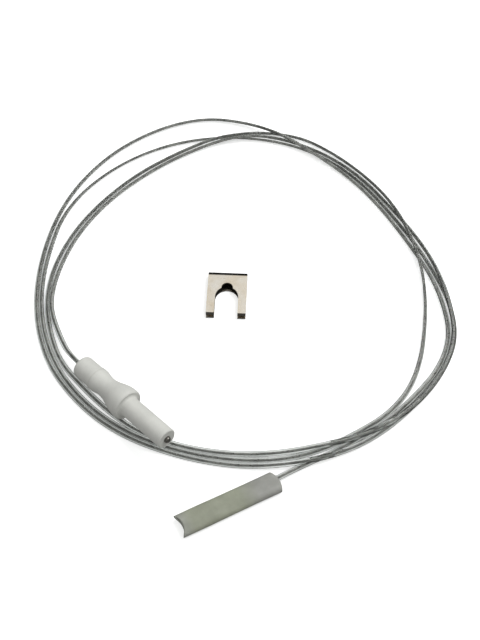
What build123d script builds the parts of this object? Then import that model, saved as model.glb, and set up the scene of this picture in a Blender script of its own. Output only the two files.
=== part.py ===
from build123d import *
import math
import os

# Flame sensor and ignition electrode for a gas burner: a ceramic insulator with a
# metal electrode through it, a long thin cable laid in a loose coil, a crimped
# terminal under a flattened sleeve, and a loose spring clip that holds the
# ceramic in its bracket.  The ceramic points along X with its tip a little
# raised, because its collar lies on the cable.  The origin is on its axis where
# the spigot leaves the fillet in front of the collar.  Millimetres.

# Ceramic insulator: lengths run along its own axis from the origin to the tip
CERAMIC_TILT = 8.5
BACK_END = -24.7
BACK_ROUNDING = 1.2
TIP_END = 17.6
TIP_CHAMFER = 0.3
BODY_RADIUS = 3.88
BODY_FROM = -19.4
COLLAR_RADIUS = 5.4
COLLAR_RIM_AT = -2.0
COLLAR_FACE_AT = -0.9
COLLAR_FACE_RADIUS = 4.9
SPIGOT_RADIUS = 3.44
# (along the axis, radius) from the collar down to the neck and up over the shoulder
NECK_CURVE = ((-4.5, 5.2), (-6.7, 4.62), (-8.8, 3.98), (-10.7, 3.62), (-12.1, 3.55),
              (-13.6, 3.74), (-15.3, 4.06), (-17.2, 4.04))
ELECTRODE_BORE = 1.2
FERRULE_BORE = 1.6
FERRULE_BORE_END = -6.0
SEAL_BORE = 2.1
SEAL_BORE_END = -21.0

# Electrode and its joint to the cable
ELECTRODE_RADIUS = 1.1
ELECTRODE_PROUD = 1.1
ELECTRODE_ROUNDING = 0.75
ELECTRODE_BACK = -11.0
FERRULE_RADIUS = 1.5
FERRULE_BACK = -17.0
FERRULE_FRONT = -7.0
FERRULE_NIPS = (-15.0, -9.0)
NIP_LENGTH = 0.8
NIP_DEPTH = 0.12
SEAL_SUNK = 0.5
CORE_GAP = 0.2

# Cable
CABLE_RADIUS = 0.8
CORE_RADIUS = 0.52
STRAND_RADIUS = 0.165
STRAND_PITCH = 0.35
TABLE = -7.35
CABLE_ON_TABLE = TABLE + CABLE_RADIUS
JACKET_START = -18.5
BEND_SHARE = 0.45

# Coil: its centre, the turn of its own axes about Z, and how far it is followed
COIL_CENTRE = (-14.06, 64.71)
COIL_TURNED = 45.1
COIL_FROM = 176
COIL_TO = 1505
STATION = 10
COIL_HEIGHT = 3.3
CERAMIC_ROOM = 0.15
SLEEVING_ROOM = 0.95
COLLAR_ROOM_END = 2.0
LENS_STATIONS = 6
OPEN_LENSES = ((184, 254, 2), (212, 275, 3), (4, 38, 1))

# The cable's radius about the coil's centre, turn by turn: (degrees run clockwise
# from the coil's own X axis, radius).  Nothing ties the turns, so they wander.
TURNS = [
    [(148, 66), (168, 67.5), (180, 65.8), (193, 62.6), (214, 59.2), (231, 58.2), (248, 59.8),
     (266, 63.2), (282, 64.5), (305, 62.7), (330, 61.5), (348, 65.2), (367, 70.8), (376, 74.6),
     (384, 77.2), (395, 76.4), (404, 76.4), (418, 73.8), (432, 70.5), (447, 69.2), (458, 69.1),
     (467, 69.5), (476, 70.1), (485, 69.8), (493, 69.1), (499, 69.2)],
    [(506, 70), (512, 70.6), (520, 69.7), (529, 69), (537, 67.9), (553, 64.4), (574, 60.8), (591, 60.1),
     (608, 61.1), (631, 65.3), (642, 67.3), (650, 67.5), (665, 64.9), (697, 62.2), (722, 63.3),
     (740, 65.7), (755, 70.1), (766, 72.5), (778, 71.5), (796, 72), (809, 71.1), (818, 70.7),
     (827, 70.6), (836, 71.2), (845, 71.9), (859, 72.3)],
    [(869, 72.4), (893, 70.7), (908, 69.7), (924, 70.5), (946, 68.3), (980, 64.6), (1014, 62.5),
     (1047, 60), (1060, 61), (1077, 66.3), (1096, 75.2), (1105, 76.7), (1115, 75.5), (1129, 75.5),
     (1145, 75.4), (1160, 73.8), (1169, 73), (1178, 72.3), (1187, 71.8), (1196, 72.2),
     (1205, 73.2), (1219, 73.7)],
    [(1229, 74.1), (1253, 72.3), (1269, 71.6), (1295, 73.4), (1317, 75), (1340, 74.8),
     (1357, 68.2), (1374, 61.8), (1396, 59.2), (1414, 59.3), (1428, 61.2), (1447, 69),
     (1464, 76), (1480, 74.3), (1494, 73.5), (1507, 74), (1516, 75.7), (1526, 79.5)],
]

# The cable's route where it isn't coiled
LEAD_IN = [
    (-24.43, 0, -3.65),
    (-31.06, 0, -4.64),
    (-39.05, 2.5, -5.8),
    (-51.0, 7.6, CABLE_ON_TABLE),
    (-59.0, 16.4, CABLE_ON_TABLE),
]
LEAD_OUT = [
    (55.22, 39.17, CABLE_ON_TABLE),
    (50.4, 26.1, -6.25),
    (46.4, 11.8, -5.65),
    (44.13, 2.7, -5.65),
]

# Flattened sleeve over the terminal: the middle of its mouth and its heading
SLEEVE_MOUTH = (38.13, -15.01)
SLEEVE_HEADING = 71.3
SLEEVE_LENGTH = 33.5
SLEEVE_WIDTH = 7.4
SLEEVE_HEIGHT = 3.4
SLEEVE_WALL = 0.4
SLEEVE_FLAT = 0.1
SLEEVE_MIDDLE = TABLE + SLEEVE_HEIGHT / 2

# Push-on terminal for a tab 4.8 wide and 0.8 thick; lengths run from the sleeve's mouth
TERMINAL_FRONT = 3.5
TERMINAL_MOUTH_LENGTH = 7.5
TERMINAL_WIDTH = 5.8
TERMINAL_HEIGHT = 2.1
TERMINAL_STOCK = 0.35
TERMINAL_ROUNDING = 0.6
TAB_WIDTH = 4.8
TAB_THICKNESS = 0.8
TAB_PLAY = 0.1
LIP_GAP = 1.2
DIMPLE_AT = 8.0
DIMPLE_RADIUS = 0.5
DIMPLE_SUNK = 0.2
STRIP_WIDTH = 1.3
NECK_WIDTH = 3.2
NECK_LENGTH = 1.6
CORE_CRIMP = (13.5, 17.0)
CORE_CRIMP_RADIUS = 1.0
JACKET_CRIMP = (19.0, 21.8)
JACKET_CRIMP_RADIUS = 1.12
CRIMP_SEAM = 0.3
CRIMP_ROOM = 0.05
TERMINAL_BACK = 22.0
JACKET_END = 18.7
CORE_PROUD = 0.8

# Retaining clip, a hairpin of spring strip with both leaves slotted
CLIP_CENTRE = (-11.74, 54.5)
CLIP_TURNED = 42.5
CLIP_WIDTH = 13.6
CLIP_LENGTH = 17.5
CLIP_STOCK = 0.5
CLIP_GAP = 1.9
CLIP_SLOT_RADIUS = 4.0
CLIP_NOTCH_RADIUS = 2.0
CLIP_ARCH_FROM_FOLD = 10.5
CLIP_NOTCH_FROM_FOLD = 6.8
CLIP_TOE = 0.9
CLIP_TOE_LEAN = 0.2


def save(part, node):
    export_step(part, f"parts/{node}.step")


def along_x(radius, start, end):
    """A round bar on the ceramic's axis, from one X to another."""
    bar = Cylinder(radius, end - start, align=(Align.CENTER, Align.CENTER, Align.MIN))
    return Pos(start, 0, 0) * Rot(0, 90, 0) * bar


def tilted(part):
    """Lays a part that is built along X on the ceramic's raised axis."""
    return Rot(0, -CERAMIC_TILT, 0) * part


def insulator_outside(gap=0.0):
    """The ceramic's turned outside, or its outside grown by a gap all round."""
    with BuildPart() as turned:
        with BuildSketch(Plane.XZ):
            with BuildLine():
                Polyline(
                    (TIP_END + gap, 0),
                    (TIP_END + gap, SPIGOT_RADIUS + gap - TIP_CHAMFER),
                    (TIP_END + gap - TIP_CHAMFER, SPIGOT_RADIUS + gap),
                    (gap, SPIGOT_RADIUS + gap),
                )
                RadiusArc(
                    (gap, SPIGOT_RADIUS + gap),
                    (COLLAR_FACE_AT + gap, SPIGOT_RADIUS + gap - COLLAR_FACE_AT),
                    -COLLAR_FACE_AT,
                )
                Line(
                    (COLLAR_FACE_AT + gap, SPIGOT_RADIUS + gap - COLLAR_FACE_AT),
                    (COLLAR_FACE_AT + gap, COLLAR_FACE_RADIUS + gap),
                )
                Spline(
                    (COLLAR_FACE_AT + gap, COLLAR_FACE_RADIUS + gap),
                    (COLLAR_RIM_AT, COLLAR_RADIUS + gap),
                    tangents=[(-0.5, 1), (-1, 0)],
                )
                Spline(
                    (COLLAR_RIM_AT, COLLAR_RADIUS + gap),
                    *[(at, radius + gap) for at, radius in NECK_CURVE],
                    (BODY_FROM, BODY_RADIUS + gap),
                    tangents=[(-1, 0), (-1, 0)],
                )
                Polyline(
                    (BODY_FROM, BODY_RADIUS + gap),
                    (BACK_END - gap, BODY_RADIUS + gap),
                    (BACK_END - gap, 0),
                    (TIP_END + gap, 0),
                )
            make_face()
        revolve(axis=Axis.X)
    return turned.part


def ceramic_insulator():
    body = insulator_outside()
    back_edge = body.edges().filter_by(GeomType.CIRCLE).sort_by(Axis.X)[0]
    body = fillet(back_edge, BACK_ROUNDING)
    body -= along_x(ELECTRODE_BORE, FERRULE_BORE_END, TIP_END + 1)
    body -= along_x(FERRULE_BORE, SEAL_BORE_END, FERRULE_BORE_END)
    body -= along_x(SEAL_BORE, BACK_END - 1, SEAL_BORE_END)
    return body


def electrode_pin():
    pin = along_x(ELECTRODE_RADIUS, ELECTRODE_BACK, TIP_END + ELECTRODE_PROUD)
    tip_edge = pin.edges().filter_by(GeomType.CIRCLE).sort_by(Axis.X)[-1]
    return fillet(tip_edge, ELECTRODE_ROUNDING)


def crimp_ferrule():
    ferrule = along_x(FERRULE_RADIUS, FERRULE_BACK, FERRULE_FRONT)
    ferrule -= along_x(ELECTRODE_RADIUS, ELECTRODE_BACK, FERRULE_FRONT)
    ferrule -= along_x(CORE_RADIUS, FERRULE_BACK, ELECTRODE_BACK)
    for nip in FERRULE_NIPS:
        groove = along_x(FERRULE_RADIUS + 1, nip - NIP_LENGTH / 2, nip + NIP_LENGTH / 2)
        groove -= along_x(FERRULE_RADIUS - NIP_DEPTH, nip - NIP_LENGTH / 2, nip + NIP_LENGTH / 2)
        ferrule -= groove
    return ferrule


def rear_seal():
    plug = along_x(SEAL_BORE, BACK_END + SEAL_SUNK, SEAL_BORE_END)
    return plug - along_x(CABLE_RADIUS, BACK_END, SEAL_BORE_END)


def wire_core(start, end):
    """Seven wire strands, six round one, along X."""
    strands = [along_x(STRAND_RADIUS, start, end)]
    for sixth in range(6):
        angle = math.radians(60 * sixth)
        offset = Pos(0, STRAND_PITCH * math.cos(angle), STRAND_PITCH * math.sin(angle))
        strands.append(offset * along_x(STRAND_RADIUS, start, end))
    return Compound(strands)


def radius_at(degrees):
    """The cable's radius about the coil's centre, smooth through the waypoints."""
    waypoints = [point for turn in TURNS for point in turn]
    last = len(waypoints) - 1
    here = max(i for i in range(last) if waypoints[i][0] <= degrees)
    (a0, r0), (a1, r1) = waypoints[here], waypoints[here + 1]
    before = waypoints[max(here - 1, 0)]
    after = waypoints[min(here + 2, last)]
    slope0 = (r1 - before[1]) / (a1 - before[0])
    slope1 = (after[1] - r0) / (after[0] - a0)
    t = (degrees - a0) / (a1 - a0)
    span = a1 - a0
    return (
        r0 * (2 * t ** 3 - 3 * t ** 2 + 1)
        + r1 * (3 * t ** 2 - 2 * t ** 3)
        + span * slope0 * (t ** 3 - 2 * t ** 2 + t)
        + span * slope1 * (t ** 3 - t ** 2)
    )


def coil_point(degrees, radius):
    """A point in plan, clockwise from the coil's own X axis."""
    angle = math.radians(COIL_TURNED - degrees)
    return (COIL_CENTRE[0] + radius * math.cos(angle), COIL_CENTRE[1] + radius * math.sin(angle))


def radii_across(degrees):
    """The radius of every turn that the coil has at one heading, smallest first."""
    passes = [degrees + 360 * turn for turn in range(-1, 5)]
    return sorted(radius_at(at) for at in passes if COIL_FROM <= at <= COIL_TO)


def flat_band(outside, inside):
    """A closed face between two rings of points."""
    with BuildSketch() as band:
        with BuildLine():
            Spline(*outside, periodic=True)
        make_face()
        with BuildLine():
            Spline(*inside, periodic=True)
        make_face(mode=Mode.SUBTRACT)
    return band.sketch


def open_lens(start, end, inner_turns):
    """The open space between the turns where they part, as a flat face."""
    inner_side = []
    outer_side = []
    for step in range(1, LENS_STATIONS):
        degrees = start + (end - start) * step / LENS_STATIONS
        radii = radii_across(degrees)
        inner_side.append(coil_point(degrees, radii[inner_turns - 1] + CABLE_RADIUS))
        outer_side.append(coil_point(degrees, radii[inner_turns] - CABLE_RADIUS))
    ends = []
    for degrees in (start, end):
        radii = radii_across(degrees)
        ends.append(coil_point(degrees, (radii[inner_turns - 1] + radii[inner_turns]) / 2))
    with BuildSketch() as lens:
        with BuildLine():
            Spline(ends[0], *inner_side, ends[1])
            Spline(ends[0], *outer_side, ends[1])
        make_face()
    return lens.sketch


def cable_coil():
    headings = range(0, 360, STATION)
    outside = [coil_point(at, radii_across(at)[-1] + CABLE_RADIUS) for at in headings]
    inside = [coil_point(at, radii_across(at)[0] - CABLE_RADIUS) for at in headings]
    plan = flat_band(outside, inside)
    for start, end, inner_turns in OPEN_LENSES:
        plan -= open_lens(start, end, inner_turns)
    ring = Pos(0, 0, TABLE) * extrude(plan, COIL_HEIGHT)
    ring -= tilted(insulator_outside(gap=CERAMIC_ROOM))
    ring -= tilted(along_x(COLLAR_RADIUS + CERAMIC_ROOM, COLLAR_RIM_AT, COLLAR_ROOM_END))
    return ring - tilted(along_x(SPIGOT_RADIUS + SLEEVING_ROOM, 0, TIP_END + 1))


def tangent_radii(points):
    """The largest bend at each corner of a route, from the shorter run beside it."""
    corners = [Vector(*point) for point in points]
    radii = []
    for before, corner, after in zip(corners, corners[1:], corners[2:]):
        into = corner - before
        out = after - corner
        half_turn = math.radians(into.get_angle(out)) / 2
        radii.append(BEND_SHARE * min(into.length, out.length) / math.tan(half_turn))
    return radii


def cable_tube(points, name):
    radii = tangent_radii(points)
    path = FilletPolyline(*points, radius=radii)
    start = Plane(origin=path @ 0, z_dir=path % 0)
    tube = sweep(start * Circle(CABLE_RADIUS), path)
    wanted = math.pi * CABLE_RADIUS ** 2 * path.length
    print(name, "radii", [round(r, 1) for r in radii], "length", round(path.length, 1),
          "volume", round(tube.volume, 2), "expected", round(wanted, 2))
    return tube


def in_sleeve(part):
    """Moves a part built along X, from X 0 at the mouth, to the sleeve's place."""
    return Pos(SLEEVE_MOUTH[0], SLEEVE_MOUTH[1], SLEEVE_MIDDLE) * Rot(0, 0, SLEEVE_HEADING) * part


def sleeve_bar(width, height, start, end):
    """A flattened bar along X with fully rounded sides."""
    with BuildSketch(Plane.YZ) as section:
        RectangleRounded(width, height, (height - SLEEVE_FLAT) / 2)
    return Pos(start, 0, 0) * extrude(section.sketch, end - start)


def terminal_sleeve():
    outer = sleeve_bar(SLEEVE_WIDTH, SLEEVE_HEIGHT, 0, SLEEVE_LENGTH)
    hollow_width = SLEEVE_WIDTH - 2 * SLEEVE_WALL
    hollow_height = SLEEVE_HEIGHT - 2 * SLEEVE_WALL
    inner = sleeve_bar(hollow_width, hollow_height, -1, SLEEVE_LENGTH + 1)
    return in_sleeve(outer - inner)


def crimp_barrel(inside, outside, start, end):
    """A crimped barrel with its seam pressed in along the top."""
    barrel = along_x(outside, start, end) - along_x(inside, start, end)
    seam = Box(end - start, CRIMP_SEAM, CRIMP_SEAM)
    return barrel - Pos((start + end) / 2, 0, outside) * Rot(45, 0, 0) * seam


def bar_on(length, width, height):
    """A bar from X 0, centred across, standing on Z 0."""
    return Box(length, width, height, align=(Align.MIN, Align.CENTER, Align.MIN))


def receptacle_mouth():
    """The flat box that takes the tab, open along its rolled lips."""
    bottom = -TERMINAL_HEIGHT / 2
    outside = bar_on(TERMINAL_MOUTH_LENGTH, TERMINAL_WIDTH, TERMINAL_HEIGHT)
    mouth = Pos(TERMINAL_FRONT, 0, bottom) * outside
    mouth = fillet(mouth.edges().filter_by(Axis.X), TERMINAL_ROUNDING)
    inside = Pos(TERMINAL_FRONT - TERMINAL_STOCK, 0, bottom + TERMINAL_STOCK)
    room = TERMINAL_MOUTH_LENGTH + 2 * TERMINAL_STOCK
    mouth -= inside * bar_on(room, TAB_WIDTH + 2 * TAB_PLAY, TAB_THICKNESS + TAB_PLAY)
    mouth -= inside * bar_on(room, LIP_GAP, TERMINAL_HEIGHT)
    return mouth - Pos(DIMPLE_AT, 0, bottom - DIMPLE_SUNK) * Sphere(DIMPLE_RADIUS)


def terminal_receptacle():
    mouth_end = TERMINAL_FRONT + TERMINAL_MOUTH_LENGTH
    at_floor = Pos(mouth_end, 0, -TERMINAL_HEIGHT / 2)
    strip = at_floor * bar_on(TERMINAL_BACK - mouth_end, STRIP_WIDTH, TERMINAL_STOCK)
    strip += at_floor * bar_on(NECK_LENGTH, NECK_WIDTH, TERMINAL_STOCK)
    strip -= along_x(CORE_CRIMP_RADIUS - CRIMP_ROOM, mouth_end, JACKET_CRIMP[0])
    strip -= along_x(CABLE_RADIUS + CRIMP_ROOM, CORE_CRIMP[1], TERMINAL_BACK)
    barrels = crimp_barrel(CORE_RADIUS, CORE_CRIMP_RADIUS, *CORE_CRIMP)
    barrels += crimp_barrel(CABLE_RADIUS, JACKET_CRIMP_RADIUS, *JACKET_CRIMP)
    return in_sleeve(receptacle_mouth() + strip + barrels)


def retaining_clip():
    """Built with the fold at +Y, the feet at Y 0 and the lower leaf on Z 0."""
    bend_outside = CLIP_GAP / 2 + CLIP_STOCK
    bend_centre = CLIP_LENGTH - bend_outside
    with BuildPart() as clip:
        with BuildSketch(Plane.YZ):
            with BuildLine():
                Polyline((0, CLIP_STOCK / 2), (bend_centre, CLIP_STOCK / 2))
                ThreePointArc(
                    (bend_centre, CLIP_STOCK / 2),
                    (bend_centre + CLIP_GAP / 2 + CLIP_STOCK / 2, bend_outside),
                    (bend_centre, 2 * bend_outside - CLIP_STOCK / 2),
                )
                Polyline(
                    (bend_centre, 2 * bend_outside - CLIP_STOCK / 2),
                    (CLIP_STOCK, 2 * bend_outside - CLIP_STOCK / 2),
                    (CLIP_TOE_LEAN, 2 * bend_outside - CLIP_STOCK / 2 - CLIP_TOE),
                )
                offset(amount=CLIP_STOCK / 2, kind=Kind.ARC)
            make_face()
        extrude(amount=CLIP_WIDTH / 2, both=True)
    body = clip.part
    top = 2 * bend_outside
    arch_at = CLIP_LENGTH - CLIP_ARCH_FROM_FOLD
    arch = Pos(0, arch_at, bend_outside) * Cylinder(CLIP_SLOT_RADIUS, 2 * top)
    foot = Pos(0, arch_at, bend_outside) * Box(
        2 * CLIP_SLOT_RADIUS, CLIP_LENGTH, 2 * top, align=(Align.CENTER, Align.MAX, Align.CENTER)
    )
    notch = Pos(0, CLIP_LENGTH - CLIP_NOTCH_FROM_FOLD, bend_outside) * Cylinder(
        CLIP_NOTCH_RADIUS, top, align=(Align.CENTER, Align.CENTER, Align.MIN)
    )
    body = body - arch - foot - notch
    place = Pos(CLIP_CENTRE[0], CLIP_CENTRE[1], TABLE) * Rot(0, 0, CLIP_TURNED)
    return place * Pos(0, -CLIP_LENGTH / 2, 0) * body


def main():
    os.makedirs("parts", exist_ok=True)
    coil = cable_coil()
    save(tilted(ceramic_insulator()), "ceramic_insulator")
    save(tilted(electrode_pin()), "electrode_pin")
    save(tilted(crimp_ferrule()), "crimp_ferrule")
    save(tilted(rear_seal()), "rear_seal")
    save(tilted(wire_core(JACKET_START, ELECTRODE_BACK - CORE_GAP)), "core_at_electrode")
    save(tilted(along_x(CABLE_RADIUS, BACK_END, JACKET_START)), "jacket_in_ceramic")
    save(coil, "cable_coil")
    save(cable_tube(LEAD_IN, "cable_lead_in") - coil, "cable_lead_in")
    save(cable_tube(LEAD_OUT, "cable_lead_out") - coil, "cable_lead_out")
    save(in_sleeve(wire_core(CORE_CRIMP[0] - CORE_PROUD, JACKET_END)), "core_at_terminal")
    save(terminal_receptacle(), "terminal_receptacle")
    save(terminal_sleeve(), "terminal_sleeve")
    save(retaining_clip(), "retaining_clip")


main()
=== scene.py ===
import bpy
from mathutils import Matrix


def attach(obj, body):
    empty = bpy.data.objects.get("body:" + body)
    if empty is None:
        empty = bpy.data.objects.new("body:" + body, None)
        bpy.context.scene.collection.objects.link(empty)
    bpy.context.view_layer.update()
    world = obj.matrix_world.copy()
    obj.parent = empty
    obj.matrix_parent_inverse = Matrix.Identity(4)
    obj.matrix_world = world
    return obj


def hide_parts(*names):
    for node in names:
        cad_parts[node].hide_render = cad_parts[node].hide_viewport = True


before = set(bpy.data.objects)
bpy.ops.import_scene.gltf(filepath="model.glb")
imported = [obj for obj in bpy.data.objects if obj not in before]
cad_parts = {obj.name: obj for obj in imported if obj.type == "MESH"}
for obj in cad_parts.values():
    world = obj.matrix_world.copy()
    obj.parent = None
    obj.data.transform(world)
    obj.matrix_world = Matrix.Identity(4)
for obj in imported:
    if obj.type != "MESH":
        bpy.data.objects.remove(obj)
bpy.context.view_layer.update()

import math

import bpy
import numpy as np
from mathutils import Matrix, Vector

MM = 0.001
ROOT = "electrode_and_cable"
TABLE = -7.35 * MM

# Cable
CABLE_RADIUS = 0.8 * MM
CABLE_HALF_WIDTH = 0.95 * MM
CABLE_HALF_THICKNESS = 0.45 * MM
FLATTENS_OVER = 15 * MM
STRAND_RADIUS = 0.145 * MM
STRAND_PITCH = 0.29 * MM
STRAND_LAY = 6.6 * MM
STRAND_STEP = 0.75 * MM
JACKET_STEP = 1.2 * MM
OUTER_STRANDS = 6
JACKET_SIDES = 20
CORE_SIDES = 5
STRAND_SIDES = 6
ROUTE_RESOLUTION = 8

# How far the flat cable leans over: (metres along it, degrees)
CABLE_LEANS = [
    (0, 0), (0.03, 20), (0.15, 25), (0.40, 19), (0.56, 23), (0.64, 38), (0.67, 60), (0.70, 38),
    (0.76, 22), (0.90, 23), (0.94, 45), (0.965, 75), (0.99, 45), (1.04, 24), (1.25, 19),
    (1.42, 26), (1.60, 20), (1.66, 0),
]

# Coil, as the CAD model lays it: the centre, the turn of its own axes, the radius turn by turn
COIL_CENTRE = (-14.06, 64.71)
COIL_TURNED = 45.1
TURN_STARTS = 148
TURNS = [
    [(148, 66), (168, 67.5), (180, 65.8), (193, 62.6), (214, 59.2), (231, 58.2), (248, 59.8),
     (266, 63.2), (282, 64.5), (305, 62.7), (330, 61.5), (348, 65.2), (367, 70.8), (376, 74.6),
     (384, 77.2), (395, 76.4), (404, 76.4), (418, 73.8), (432, 70.5), (447, 69.2), (458, 69.1),
     (467, 69.5), (476, 70.1), (485, 69.8), (493, 69.1), (499, 69.2)],
    [(506, 70), (512, 70.6), (520, 69.7), (529, 69), (537, 67.9), (553, 64.4), (574, 60.8), (591, 60.1),
     (608, 61.1), (631, 65.3), (642, 67.3), (650, 67.5), (665, 64.9), (697, 62.2), (722, 63.3),
     (740, 65.7), (755, 70.1), (766, 72.5), (778, 71.5), (796, 72), (809, 71.1), (818, 70.7),
     (827, 70.6), (836, 71.2), (845, 71.9), (859, 72.3)],
    [(869, 72.4), (893, 70.7), (908, 69.7), (924, 70.5), (946, 68.3), (980, 64.6), (1014, 62.5),
     (1047, 60), (1060, 61), (1077, 66.3), (1096, 75.2), (1105, 76.7), (1115, 75.5), (1129, 75.5),
     (1145, 75.4), (1160, 73.8), (1169, 73), (1178, 72.3), (1187, 71.8), (1196, 72.2),
     (1205, 73.2), (1219, 73.7)],
    [(1229, 74.1), (1253, 72.3), (1269, 71.6), (1295, 73.4), (1317, 75), (1340, 74.8),
     (1357, 68.2), (1374, 61.8), (1396, 59.2), (1414, 59.3), (1428, 61.2), (1447, 69),
     (1464, 76), (1480, 74.3), (1494, 73.5), (1507, 74), (1516, 75.7), (1526, 79.5)],
]
COIL_FROM = 190
COIL_TO = 1490
STATION = 10

# Where a turn lies on top of others that it would otherwise lie under:
# (degrees along the cable, half width in degrees, turns climbed)
CLIMBS = [(705, 50, 2.5), (1362, 60, 4.0)]
TOP_RANK = 4

# How the turns settle: the degrees between the places followed and how far these run
# on past the coil's two ends, then the start and what every round does
SETTLE_STEP = 2
SETTLE_ROUNDS = 700
SETTLE_BEFORE = 20
SETTLE_PAST = 31
START_HEIGHT = 1.5 * CABLE_RADIUS
DROP_PER_ROUND = 0.02 * MM
EASING = 0.3
EASINGS_PER_ROUND = 3
PUSHES_PER_ROUND = 2
STRAY_KEPT = 0.97
STRAY_PUSH = 0.5
NEVER_ZERO = 1e-9

# The route where the cable isn't coiled
LEAD_IN = [
    (-24.43, 0, -3.65),
    (-31.06, 0, -4.64),
    (-39.05, 2.5, -5.8),
    (-51.0, 7.6, -6.55),
    (-59.0, 16.4, -6.55),
]
LEAD_OUT = [
    (55.22, 39.17, -6.55),
    (50.4, 26.1, -6.25),
    (46.4, 11.8, -5.65),
    (44.13, 2.7, -5.65),
]

# Sleeve: the middle of its mouth, its heading and its size
SLEEVE_MOUTH = (38.13 * MM, -15.01 * MM)
SLEEVE_HEADING = 71.3
SLEEVE_LENGTH = 33.5 * MM
SLEEVE_HALF_WIDTH = 3.7 * MM
SLEEVE_HALF_HEIGHT = 1.7 * MM
SLEEVE_WALL = 0.4 * MM
OUTER_SQUARENESS = 2.7
INNER_SQUARENESS = 4.2
SLEEVE_STATIONS = 72
SLEEVE_SIDES = 56

# The sleeve's soft shape: its ends, the swell over the terminal and the uneven walls.
# A sag is (depth, radians over the sleeve's length, radians at its mouth).
MOUTH_HOLLOW = 1.3 * MM
REAR_BULGE = 1.0 * MM
REAR_SHORT = 0.5 * MM
REAR_SKEW = 0.12
SWELL_AT = 0.22
SWELL_SPREAD = 0.16
SWELL_HEIGHT = 0.07 * MM
HEIGHT_LOST = 0.08 * MM
LONG_SAG = (0.05 * MM, 9.0, 0)
SHORT_SAG = (0.03 * MM, 23.0, 1)
SIDE_SAG = (0.05 * MM, 5.5, 0.6)
DENT_DEPTH = 0.06 * MM
DENT_RADIANS_PER_METRE_ACROSS = 1400
DENT_RADIANS_OVER_LENGTH = 14

# Ceramic and clip, for where the ceramic's darker ring and the clip's painted shade lie
CERAMIC_TILT = 8.5
RING_AT = -16.2 * MM
CLIP_CENTRE = (-11.74 * MM, 54.5 * MM)
CLIP_TURNED = 42.5
CLIP_BEND_FROM_CENTRE = 7.1 * MM
CLIP_HEIGHT = 2.9 * MM

# Floor, world and lamp
FLOOR_REACH = 1.6
FLOOR_COLOUR = (0.93, 0.935, 0.93)
FLOOR_GLOW = 0.55
WORLD_STRENGTH = 0.8
# (height of a direction, 0 straight down and 1 straight up, brightness)
SKY = ((0.0, 0.44), (0.47, 0.34), (0.56, 0.30), (0.75, 0.54), (1.0, 1.0))
PALE = (1.0, 1.0, 1.0)

# Camera
CAMERA_AZIMUTH = 45.1
CAMERA_ELEVATION = 58.0
CAMERA_DISTANCE = 350 * MM
CAMERA_LENS = 57.5
CAMERA_NEAREST = 10 * MM
LOOKS_AT = (-1.8 * MM, 50.99 * MM, TABLE)


# ---------------------------------------------------------------- cable route

def radius_at(degrees):
    """The cable's radius about the coil's centre in millimetres, smooth through the waypoints."""
    waypoints = [point for turn in TURNS for point in turn]
    last = len(waypoints) - 1
    here = max(i for i in range(last) if waypoints[i][0] <= degrees)
    (a0, r0), (a1, r1) = waypoints[here], waypoints[here + 1]
    before = waypoints[max(here - 1, 0)]
    after = waypoints[min(here + 2, last)]
    slope0 = (r1 - before[1]) / (a1 - before[0])
    slope1 = (after[1] - r0) / (after[0] - a0)
    t = (degrees - a0) / (a1 - a0)
    span = a1 - a0
    return (
        r0 * (2 * t ** 3 - 3 * t ** 2 + 1)
        + r1 * (3 * t ** 2 - 2 * t ** 3)
        + span * slope0 * (t ** 3 - 2 * t ** 2 + t)
        + span * slope1 * (t ** 3 - t ** 2)
    )


def coil_point(degrees, radius, height):
    """The place of the cable's middle at a heading, at a radius and a height above the table."""
    angle = math.radians(COIL_TURNED - degrees)
    x = COIL_CENTRE[0] * MM + radius * math.cos(angle)
    y = COIL_CENTRE[1] * MM + radius * math.sin(angle)
    return (x, y, TABLE + CABLE_RADIUS + height)


def rank_at(degrees):
    """Which turn lies on which: later turns lie lower, apart from the climbs."""
    rank = TOP_RANK - (degrees - TURN_STARTS) // 360
    for middle, half_width, climbed in CLIMBS:
        away = abs(degrees - middle) / half_width
        if away < 1:
            rank += climbed * math.cos(away * math.pi / 2)
    return rank


def ease(values):
    """Evens out a list of values along the cable, as its stiffness does."""
    values[1:-1] += EASING * (values[:-2] + values[2:] - 2 * values[1:-1])


def settle_coil():
    """Lets the turns sink on to the table and each other, and gives {degrees: (radius, height)}."""
    headings = np.arange(COIL_FROM - SETTLE_BEFORE, COIL_TO + SETTLE_PAST, SETTLE_STEP)
    wanted = np.array([radius_at(at) * MM for at in headings])
    strayed = np.zeros(len(headings))
    heights = np.array([rank_at(at) * START_HEIGHT for at in headings])
    for _ in range(SETTLE_ROUNDS):
        heights -= DROP_PER_ROUND
        for _ in range(EASINGS_PER_ROUND):
            ease(heights)
            ease(strayed)
        strayed *= STRAY_KEPT
        for _ in range(PUSHES_PER_ROUND):
            for turns in (1, 2, 3):
                push_apart(wanted, strayed, heights, turns * 360 // SETTLE_STEP)
            np.maximum(heights, 0, out=heights)
    return dict(zip(headings.tolist(), zip((wanted + strayed).tolist(), heights.tolist())))


def push_apart(wanted, strayed, heights, ahead):
    """Moves passes that overlap away from those so many steps ahead, one or more turns on."""
    radii = wanted + strayed
    across = radii[ahead:] - radii[:-ahead]
    up = heights[ahead:] - heights[:-ahead]
    apart = np.hypot(across, up) + NEVER_ZERO
    push = np.maximum(2 * CABLE_RADIUS - apart, 0) / 2 / apart
    strayed[ahead:] += push * across * STRAY_PUSH
    strayed[:-ahead] -= push * across * STRAY_PUSH
    heights[ahead:] += push * up
    heights[:-ahead] -= push * up


def cable_route():
    """The control points of the whole cable, from the ceramic to the terminal, in metres."""
    settled = settle_coil()
    route = [tuple(value * MM for value in point) for point in LEAD_IN]
    route += [coil_point(at, *settled[at]) for at in range(COIL_FROM, COIL_TO + 1, STATION)]
    route += [tuple(value * MM for value in point) for point in LEAD_OUT]
    return route


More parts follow.
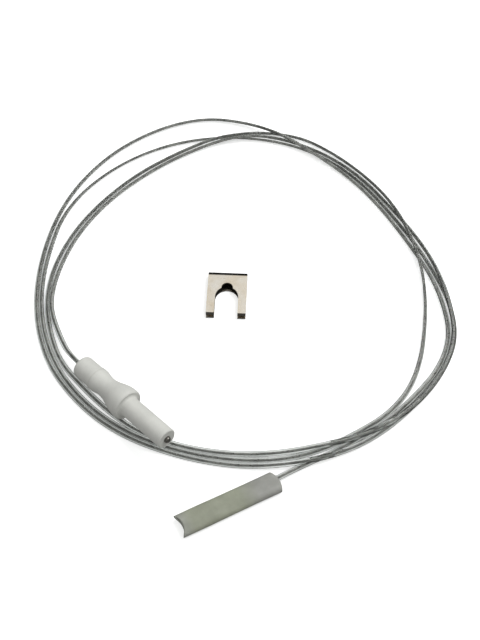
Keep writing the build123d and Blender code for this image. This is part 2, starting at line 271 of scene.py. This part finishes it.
def nurbs_centreline(control_points):
    """Points along the smooth line that these control points pull, as Blender evaluates it."""
    data = bpy.data.curves.new("route", "CURVE")
    data.dimensions = "3D"
    data.resolution_u = ROUTE_RESOLUTION
    spline = data.splines.new("NURBS")
    spline.points.add(len(control_points) - 1)
    for point, place in zip(spline.points, control_points):
        point.co = (*place, 1)
    spline.order_u = 3
    spline.use_endpoint_u = True
    line = bpy.data.objects.new("route", data)
    mesh = bpy.data.meshes.new_from_object(line)
    points = np.array([vertex.co[:] for vertex in mesh.vertices])
    bpy.data.meshes.remove(mesh)
    bpy.data.objects.remove(line)
    bpy.data.curves.remove(data)
    return points


# ---------------------------------------------------------------- camera

def direction_from(azimuth, elevation):
    """The direction from the object to a camera or lamp at these angles in degrees."""
    azimuth, elevation = math.radians(azimuth), math.radians(elevation)
    return Vector((
        math.sin(azimuth) * math.cos(elevation),
        -math.cos(azimuth) * math.cos(elevation),
        math.sin(elevation),
    ))


def aim_at_coil(thing, back, distance):
    """Puts a camera or lamp that far back from the coil, looking at it."""
    thing.location = Vector(LOOKS_AT) + back * distance
    thing.rotation_euler = back.to_track_quat("Z", "Y").to_euler()
    bpy.context.collection.objects.link(thing)


def place_camera():
    data = bpy.data.cameras.new("camera")
    data.lens = CAMERA_LENS
    data.clip_start = CAMERA_NEAREST
    camera = bpy.data.objects.new("camera", data)
    aim_at_coil(camera, direction_from(CAMERA_AZIMUTH, CAMERA_ELEVATION), CAMERA_DISTANCE)
    bpy.context.scene.camera = camera


# ---------------------------------------------------------------- cable

def even_points(points, step):
    """The same line, with points an even distance apart."""
    runs = np.linalg.norm(np.diff(points, axis=0), axis=1)
    along = np.concatenate([[0], np.cumsum(runs)])
    stops = np.linspace(0, along[-1], int(along[-1] / step) + 1)
    return stops, np.stack([np.interp(stops, along, points[:, axis]) for axis in range(3)], axis=1)


def level_frame(points):
    """Across and up at each point of a line that lies about flat."""
    ahead = np.gradient(points, axis=0)
    ahead /= np.linalg.norm(ahead, axis=1)[:, None]
    across = np.cross(ahead, (0, 0, 1))
    across /= np.linalg.norm(across, axis=1)[:, None]
    return across, np.cross(across, ahead)


def cable_section(along, points):
    """The directions across and through the flat cable, and how flat it is from 0 to 1."""
    across, up = level_frame(points)
    lean = np.radians(np.interp(along, *zip(*CABLE_LEANS)))[:, None]
    share = np.clip(np.minimum(along, along[-1] - along) / FLATTENS_OVER, 0, 1)[:, None]
    wide = np.cos(lean) * across + np.sin(lean) * up
    thin = np.cos(lean) * up - np.sin(lean) * across
    return wide, thin, share * share * (3 - 2 * share)


def tube_mesh(name, points, wide, thin, sides):
    """An oval tube with closed ends; wide and thin are its half axes at each point."""
    angles = np.arange(sides) * 2 * math.pi / sides
    rings = (
        points[:, None]
        + np.cos(angles)[None, :, None] * wide[:, None]
        + np.sin(angles)[None, :, None] * thin[:, None]
    )
    rings[..., 2] = np.maximum(rings[..., 2], TABLE)
    faces = [
        (ring + side, ring + sides + side, ring + sides + (side + 1) % sides, ring + (side + 1) % sides)
        for ring in range(0, (len(points) - 1) * sides, sides)
        for side in range(sides)
    ]
    last = (len(points) - 1) * sides
    faces.append(tuple(range(sides)))
    faces.append(tuple(range(last, last + sides))[::-1])
    return mesh_piece(name, rings.reshape(-1, 3).tolist(), faces)


def mesh_piece(name, places, faces):
    """A smooth-shaded piece from its points and faces."""
    mesh = bpy.data.meshes.new(name)
    mesh.from_pydata(places, [], faces)
    mesh.validate()
    for face in mesh.polygons:
        face.use_smooth = True
    piece = bpy.data.objects.new(name, mesh)
    bpy.context.collection.objects.link(piece)
    return piece


def cable_jacket(line):
    """The cable's clear skin: round where it is held at both ends, flat between them."""
    along, points = even_points(line, JACKET_STEP)
    wide, thin, flat = cable_section(along, points)
    wide = wide * (CABLE_RADIUS + (CABLE_HALF_WIDTH - CABLE_RADIUS) * flat)
    thin = thin * (CABLE_RADIUS + (CABLE_HALF_THICKNESS - CABLE_RADIUS) * flat)
    return tube_mesh("cable_jacket", points, wide, thin, JACKET_SIDES)


def conductor_strands(line):
    """The cable's bare wires: one straight down the middle and six laid round it."""
    along, points = even_points(line, STRAND_STEP)
    across, up = level_frame(points)
    wide, thin = STRAND_RADIUS * across, STRAND_RADIUS * up
    strands = [tube_mesh("strand_core", points, wide, thin, CORE_SIDES)]
    for number in range(OUTER_STRANDS):
        turn = 2 * math.pi * (along / STRAND_LAY + number / OUTER_STRANDS)
        laid = points + STRAND_PITCH * (np.cos(turn)[:, None] * across + np.sin(turn)[:, None] * up)
        strands.append(tube_mesh(f"strand_{number + 1}", laid, wide, thin, STRAND_SIDES))
    return strands


# ---------------------------------------------------------------- sleeve

def sleeve_section(squareness, half_width, half_height, turn):
    """A point of the flattened section: rounded sides, almost flat top and bottom."""
    cosine, sine = math.cos(turn), math.sin(turn)
    across = math.copysign(abs(cosine) ** (2 / squareness), cosine)
    up = math.copysign(abs(sine) ** (2 / squareness), sine)
    return across * half_width, up * half_height


def sag_at(share, depth, radians, at_mouth):
    """How far a soft wall sags at a share of the sleeve's length."""
    return depth * math.sin(share * radians + at_mouth)


def sleeve_skin(skin, squareness):
    """Points of one skin of the sleeve, so deep inside its outside, from the mouth back."""
    places = []
    for station in range(SLEEVE_STATIONS):
        share = station / (SLEEVE_STATIONS - 1)
        swell = math.exp(-((share - SWELL_AT) / SWELL_SPREAD) ** 2) * SWELL_HEIGHT
        sag = sag_at(share, *LONG_SAG) + sag_at(share, *SHORT_SAG)
        half_height = SLEEVE_HALF_HEIGHT - HEIGHT_LOST + swell + sag - skin
        half_width = SLEEVE_HALF_WIDTH + sag_at(share, *SIDE_SAG) - skin
        for side in range(SLEEVE_SIDES):
            turn = 2 * math.pi * side / SLEEVE_SIDES
            across, up = sleeve_section(squareness, half_width, half_height, turn)
            middle = 1 - (across / SLEEVE_HALF_WIDTH) ** 2
            start = MOUTH_HOLLOW * middle
            end = SLEEVE_LENGTH - REAR_SHORT + REAR_BULGE * middle - REAR_SKEW * across
            wave = math.sin(across * DENT_RADIANS_PER_METRE_ACROSS + share * DENT_RADIANS_OVER_LENGTH)
            dent = DENT_DEPTH * wave * abs(up) / SLEEVE_HALF_HEIGHT
            lowest = skin - SLEEVE_HALF_HEIGHT
            places.append((start + (end - start) * share, across, max(up + dent, lowest)))
    return places


def sleeve_faces():
    """Faces of both skins, and of the rims that join them at the mouth and the rear."""
    inner = SLEEVE_STATIONS * SLEEVE_SIDES
    faces = []
    for ring in range(0, inner - SLEEVE_SIDES, SLEEVE_SIDES):
        for side in range(SLEEVE_SIDES):
            a, b = ring + side, ring + (side + 1) % SLEEVE_SIDES
            faces.append((a, b, b + SLEEVE_SIDES, a + SLEEVE_SIDES))
            faces.append((inner + a, inner + a + SLEEVE_SIDES, inner + b + SLEEVE_SIDES, inner + b))
    for side in range(SLEEVE_SIDES):
        a, b = side, (side + 1) % SLEEVE_SIDES
        faces.append((a, inner + a, inner + b, b))
        a, b = a + inner - SLEEVE_SIDES, b + inner - SLEEVE_SIDES
        faces.append((a, b, inner + b, inner + a))
    return faces


def terminal_sleeve():
    """A flattened soft sleeve with a hollow mouth, a bulging rear end and the terminal showing as a swell."""
    places = sleeve_skin(0.0, OUTER_SQUARENESS) + sleeve_skin(SLEEVE_WALL, INNER_SQUARENESS)
    piece = mesh_piece("sleeve_tube", places, sleeve_faces())
    place = Matrix.Translation((*SLEEVE_MOUTH, TABLE + SLEEVE_HALF_HEIGHT))
    piece.data.transform(place @ Matrix.Rotation(math.radians(SLEEVE_HEADING), 4, "Z"))
    return piece


# ---------------------------------------------------------------- materials

def fill_ramp(node, stops):
    """Gives a colour ramp its stops: (position, grey value or colour)."""
    elements = node.color_ramp.elements
    while len(elements) < len(stops):
        elements.new(0.5)
    for element, (at, value) in zip(elements, stops):
        element.position = at
        element.color = (*value, 1) if isinstance(value, tuple) else (value, value, value, 1)


class Surface:
    """A Principled material and the nodes that drive it, with sizes in millimetres."""

    def __init__(self, name, **sockets):
        self.material = bpy.data.materials.new(name)
        self.material.use_nodes = True
        self.tree = self.material.node_tree
        self.shader = self.tree.nodes["Principled BSDF"]
        self.place = self.tree.nodes.new("ShaderNodeTexCoord").outputs["Object"]
        self.height = None
        for socket, value in sockets.items():
            self.set(socket.replace("_", " "), value)

    def set(self, socket, value):
        if isinstance(value, tuple):
            value = (*value, 1)
        self.shader.inputs[socket].default_value = value

    def link(self, source, target):
        self.tree.links.new(source, target)

    def stretched(self, turned, scale):
        """The object's coordinates, turned about Z and scaled along each axis."""
        mapping = self.tree.nodes.new("ShaderNodeMapping")
        mapping.vector_type = "TEXTURE"
        mapping.inputs["Rotation"].default_value = (0, 0, math.radians(turned))
        mapping.inputs["Scale"].default_value = scale
        self.link(self.place, mapping.inputs["Vector"])
        return mapping.outputs["Vector"]

    def noise(self, size, detail=3.0, roughness=0.55, place=None):
        node = self.tree.nodes.new("ShaderNodeTexNoise")
        node.inputs["Scale"].default_value = 1 / (size * MM)
        node.inputs["Detail"].default_value = detail
        node.inputs["Roughness"].default_value = roughness
        self.link(place or self.place, node.inputs["Vector"])
        return node.outputs["Fac"]

    def ramp(self, source, stops):
        """Colours or grey values along a source that runs from 0 to 1."""
        node = self.tree.nodes.new("ShaderNodeValToRGB")
        fill_ramp(node, stops)
        self.link(source, node.inputs["Fac"])
        return node.outputs["Color"]

    def facing(self, direction, stops):
        """Grey values along how squarely the surface faces a direction."""
        texture = self.tree.nodes.new("ShaderNodeTexCoord")
        dot = self.tree.nodes.new("ShaderNodeVectorMath")
        dot.operation = "DOT_PRODUCT"
        dot.inputs[1].default_value = direction
        self.link(texture.outputs["Normal"], dot.inputs[0])
        return self.ramp(dot.outputs["Value"], stops)

    def along(self, direction, start, end, stops):
        """Colours from one distance along a direction in the model to another."""
        dot = self.tree.nodes.new("ShaderNodeVectorMath")
        dot.operation = "DOT_PRODUCT"
        dot.inputs[1].default_value = direction
        self.link(self.place, dot.inputs[0])
        share = self.tree.nodes.new("ShaderNodeMapRange")
        share.inputs["From Min"].default_value = start
        share.inputs["From Max"].default_value = end
        self.link(dot.outputs["Value"], share.inputs["Value"])
        return self.ramp(share.outputs["Result"], stops)

    def multiply(self, first, second):
        node = self.tree.nodes.new("ShaderNodeMix")
        node.data_type = "RGBA"
        node.blend_type = "MULTIPLY"
        node.inputs["Factor"].default_value = 1
        self.link(first, node.inputs["A"])
        self.link(second, node.inputs["B"])
        return node.outputs["Result"]

    def colour(self, source):
        self.link(source, self.shader.inputs["Base Color"])

    def rough(self, source, low, high):
        self.link(self.ramp(source, [(0.3, low), (0.7, high)]), self.shader.inputs["Roughness"])

    def bump(self, source, depth, strength=1.0):
        """Adds a relief of this depth in millimetres."""
        node = self.tree.nodes.new("ShaderNodeBump")
        node.inputs["Distance"].default_value = depth * MM
        node.inputs["Strength"].default_value = strength
        self.link(source, node.inputs["Height"])
        if self.height:
            self.link(self.height, node.inputs["Normal"])
        self.height = node.outputs["Normal"]
        self.link(self.height, self.shader.inputs["Normal"])


def ceramic():
    surface = Surface("fired_ceramic", Specular_IOR_Level=0.35)
    cloud = surface.ramp(surface.noise(6, 4), [(0.3, (0.64, 0.645, 0.605)), (0.7, (0.72, 0.725, 0.68))])
    specks = surface.ramp(surface.noise(0.35, 2), [(0.24, (0.80, 0.79, 0.76)), (0.34, (1, 1, 1))])
    scuffs = surface.ramp(
        surface.noise(1.6, 5, 0.7, surface.stretched(0, (0.25, 1, 1))),
        [(0.26, (0.86, 0.86, 0.85)), (0.38, (1, 1, 1))],
    )
    tilt = math.radians(CERAMIC_TILT)
    axis = (math.cos(tilt), 0, math.sin(tilt))
    ring = surface.along(axis, RING_AT - 2 * MM, RING_AT + 2 * MM, [
        (0.40, (1, 1, 1)), (0.47, (0.90, 0.90, 0.89)), (0.53, (0.94, 0.94, 0.93)), (0.62, (1, 1, 1))])
    marked = surface.multiply(surface.multiply(cloud, specks), scuffs)
    surface.colour(surface.multiply(marked, ring))
    surface.rough(surface.noise(2.5, 4), 0.48, 0.66)
    surface.bump(surface.noise(0.22, 3), 0.012)
    surface.bump(surface.noise(2.2, 2), 0.03)
    return surface.material


def electrode_metal():
    surface = Surface("oxidised_electrode_wire", Metallic=1.0)
    surface.colour(surface.ramp(
        surface.noise(0.7, 4), [(0.3, (0.10, 0.095, 0.085)), (0.7, (0.24, 0.23, 0.21))]))
    surface.rough(surface.noise(0.5, 3), 0.16, 0.34)
    surface.bump(surface.noise(0.12, 3), 0.008)
    return surface.material


def plated_steel():
    surface = Surface("plated_crimp_ferrule", Metallic=1.0)
    surface.colour(surface.ramp(
        surface.noise(0.9, 3), [(0.3, (0.52, 0.51, 0.48)), (0.7, (0.68, 0.67, 0.64))]))
    surface.rough(surface.noise(0.4, 3), 0.28, 0.45)
    surface.bump(surface.noise(0.15, 2), 0.008)
    return surface.material


def cement():
    surface = Surface("rear_cement", Specular_IOR_Level=0.25)
    surface.colour(surface.ramp(
        surface.noise(0.5, 5), [(0.3, (0.44, 0.43, 0.39)), (0.7, (0.60, 0.59, 0.55))]))
    surface.rough(surface.noise(0.4, 3), 0.75, 0.95)
    surface.bump(surface.noise(0.25, 5), 0.06)
    return surface.material


def tinned_wire():
    surface = Surface("tinned_copper_wire", Metallic=1.0)
    dull = surface.ramp(surface.noise(3.5, 3), [(0.3, (0.36, 0.36, 0.345)), (0.65, (0.60, 0.60, 0.58))])
    surface.colour(surface.multiply(
        dull, surface.ramp(surface.noise(0.3, 2), [(0.3, (0.8, 0.79, 0.77)), (0.6, (1, 1, 1))])))
    surface.rough(surface.noise(0.6, 3), 0.22, 0.42)
    surface.bump(surface.noise(0.1, 2), 0.006)
    return surface.material


def clear_plastic():
    surface = Surface("clear_cable_jacket", Transmission_Weight=1.0, IOR=1.38)
    surface.colour(surface.ramp(
        surface.noise(9, 3), [(0.3, (0.53, 0.55, 0.535)), (0.7, (0.67, 0.69, 0.675))]))
    surface.rough(surface.noise(1.5, 4), 0.02, 0.07)
    surface.bump(surface.noise(1.4, 2), 0.008)
    return surface.material


def milky_plastic():
    surface = Surface("milky_sleeve_plastic", Transmission_Weight=0.35, IOR=1.45)
    heading = math.radians(SLEEVE_HEADING)
    along = (math.cos(heading), math.sin(heading), 0)
    mouth = SLEEVE_MOUTH[0] * along[0] + SLEEVE_MOUTH[1] * along[1]
    ends, middle = (0.98, 0.96, 1.0), (0.94, 0.96, 0.84)
    terminal = surface.along(along, mouth, mouth + SLEEVE_LENGTH, [
        (0.04, (1, 1, 1)), (0.14, middle), (0.62, middle), (0.80, ends)])
    cloud = surface.ramp(
        surface.noise(4, 4), [(0.3, (0.43, 0.445, 0.39)), (0.7, (0.54, 0.555, 0.50))])
    surface.colour(surface.multiply(cloud, terminal))
    surface.rough(surface.noise(1.8, 4), 0.36, 0.52)
    surface.bump(surface.noise(0.4, 3), 0.012)
    surface.bump(surface.noise(2.6, 2), 0.06)
    return surface.material


def brass():
    surface = Surface("terminal_brass", Metallic=1.0)
    surface.colour(surface.ramp(
        surface.noise(1.2, 4), [(0.3, (0.45, 0.36, 0.17)), (0.7, (0.66, 0.54, 0.29))]))
    surface.rough(surface.noise(0.5, 3), 0.24, 0.42)
    surface.bump(surface.noise(0.2, 3), 0.01)
    return surface.material


def spring_steel():
    surface = Surface("polished_spring_strip", Metallic=1.0)
    grain = surface.stretched(COIL_TURNED, (0.12, 1, 1))
    tint = surface.ramp(surface.noise(5, 3), [(0.3, (0.90, 0.80, 0.64)), (0.7, (1.0, 0.95, 0.85))])
    spots = surface.ramp(surface.noise(0.8, 4, 0.7), [(0.27, (0.42, 0.36, 0.28)), (0.36, (1, 1, 1))])
    turned = math.radians(CLIP_TURNED)
    to_fold = (-math.sin(turned), math.cos(turned), 0)
    bend = CLIP_CENTRE[0] * to_fold[0] + CLIP_CENTRE[1] * to_fold[1] + CLIP_BEND_FROM_CENTRE
    # painted reflection: the clip's rounded fold is painted near black for the dark it reflects
    painted_fold_shade = surface.along(to_fold, bend - 0.4 * MM, bend + 0.4 * MM, [(0.3, 1), (0.7, 0.03)])
    # painted shade: faces turned away from the fold, at the toes, are painted dark
    painted_toe_shade = surface.facing((math.sin(turned), -math.cos(turned), 0), [(0.3, 1), (0.6, 0.16)])
    # painted shade: the clip is painted darker low down, for the shade between its two leaves
    painted_lower_leaf_shade = surface.along((0, 0, 1), TABLE, TABLE + CLIP_HEIGHT, [(0.2, 0.45), (0.8, 1)])
    scratches = surface.ramp(
        surface.noise(1.1, 3, 0.8, surface.stretched(COIL_TURNED + 24, (6, 0.12, 1))),
        [(0.28, 0.6), (0.34, 1)],
    )
    plain = surface.multiply(surface.multiply(tint, spots), scratches)
    # the plain metal is darkened by the painted shade at the fold, the toes and the lower leaf
    surface.colour(surface.multiply(plain, surface.multiply(painted_lower_leaf_shade, surface.multiply(painted_fold_shade, painted_toe_shade))))
    surface.rough(surface.noise(0.5, 4, 0.6, grain), 0.10, 0.24)
    surface.bump(surface.noise(0.25, 4, 0.6, grain), 0.006)
    surface.bump(surface.noise(3.0, 2), 0.03)
    return surface.material


def dress(piece, material):
    piece.data.materials.clear()
    piece.data.materials.append(material)


# ---------------------------------------------------------------- surroundings

def studio_floor():
    corners = [(-1, -1), (1, -1), (1, 1), (-1, 1)]
    places = [(x * FLOOR_REACH, y * FLOOR_REACH, TABLE) for x, y in corners]
    floor = mesh_piece("floor", places, [(0, 1, 2, 3)])
    surface = Surface("pale_floor", Roughness=0.9, Specular_IOR_Level=0.1, Emission_Strength=FLOOR_GLOW)
    surface.set("Base Color", FLOOR_COLOUR)
    surface.set("Emission Color", FLOOR_COLOUR)
    dress(floor, surface.material)
    floor.visible_diffuse = False
    floor.visible_glossy = False


def soft_light(name, azimuth, elevation, distance, size, power):
    """A square lamp that looks at the coil from a heading and a height."""
    data = bpy.data.lights.new(name, "AREA")
    data.size = size
    data.energy = power
    lamp = bpy.data.objects.new(name, data)
    aim_at_coil(lamp, direction_from(azimuth, elevation), distance)


def studio_world():
    """Bright overhead and dark towards the horizon, which polished metal shows as dark edges."""
    world = bpy.data.worlds.new("studio")
    bpy.context.scene.world = world
    world.use_nodes = True
    nodes, links = world.node_tree.nodes, world.node_tree.links
    split = nodes.new("ShaderNodeSeparateXYZ")
    links.new(nodes.new("ShaderNodeTexCoord").outputs["Generated"], split.inputs["Vector"])
    height = nodes.new("ShaderNodeMapRange")
    height.inputs["From Min"].default_value = -1
    links.new(split.outputs["Z"], height.inputs["Value"])
    ramp = nodes.new("ShaderNodeValToRGB")
    fill_ramp(ramp, SKY)
    links.new(height.outputs["Result"], ramp.inputs["Fac"])
    seen = nodes.new("ShaderNodeMix")
    seen.data_type = "RGBA"
    seen.inputs["B"].default_value = (*PALE, 1)
    links.new(nodes.new("ShaderNodeLightPath").outputs["Is Camera Ray"], seen.inputs["Factor"])
    links.new(ramp.outputs["Color"], seen.inputs["A"])
    links.new(seen.outputs["Result"], nodes["Background"].inputs["Color"])
    nodes["Background"].inputs["Strength"].default_value = WORLD_STRENGTH


# ---------------------------------------------------------------- the scene

place_camera()
bpy.context.scene.view_settings.view_transform = "Standard"
studio_world()
studio_floor()
soft_light("key", azimuth=CAMERA_AZIMUTH + 125, elevation=50, distance=0.9, size=0.6, power=4.6)

FINISHES = {
    "ceramic_insulator": ceramic(),
    "electrode_pin": electrode_metal(),
    "crimp_ferrule": plated_steel(),
    "rear_seal": cement(),
    "core_at_electrode": tinned_wire(),
    "jacket_in_ceramic": clear_plastic(),
    "terminal_receptacle": brass(),
    "retaining_clip": spring_steel(),
}
FINISHES["core_at_terminal"] = FINISHES["core_at_electrode"]
for node, finish in FINISHES.items():
    dress(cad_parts[node], finish)

cable_line = nurbs_centreline(cable_route())
jacket = cable_jacket(cable_line)
dress(jacket, FINISHES["jacket_in_ceramic"])
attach(jacket, ROOT)
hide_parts("cable_coil", "cable_lead_in", "cable_lead_out")

strands = conductor_strands(cable_line)
for strand in strands:
    dress(strand, FINISHES["core_at_electrode"])
    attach(strand, ROOT)

sleeve = terminal_sleeve()
dress(sleeve, milky_plastic())
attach(sleeve, "sleeve")
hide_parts("terminal_sleeve")
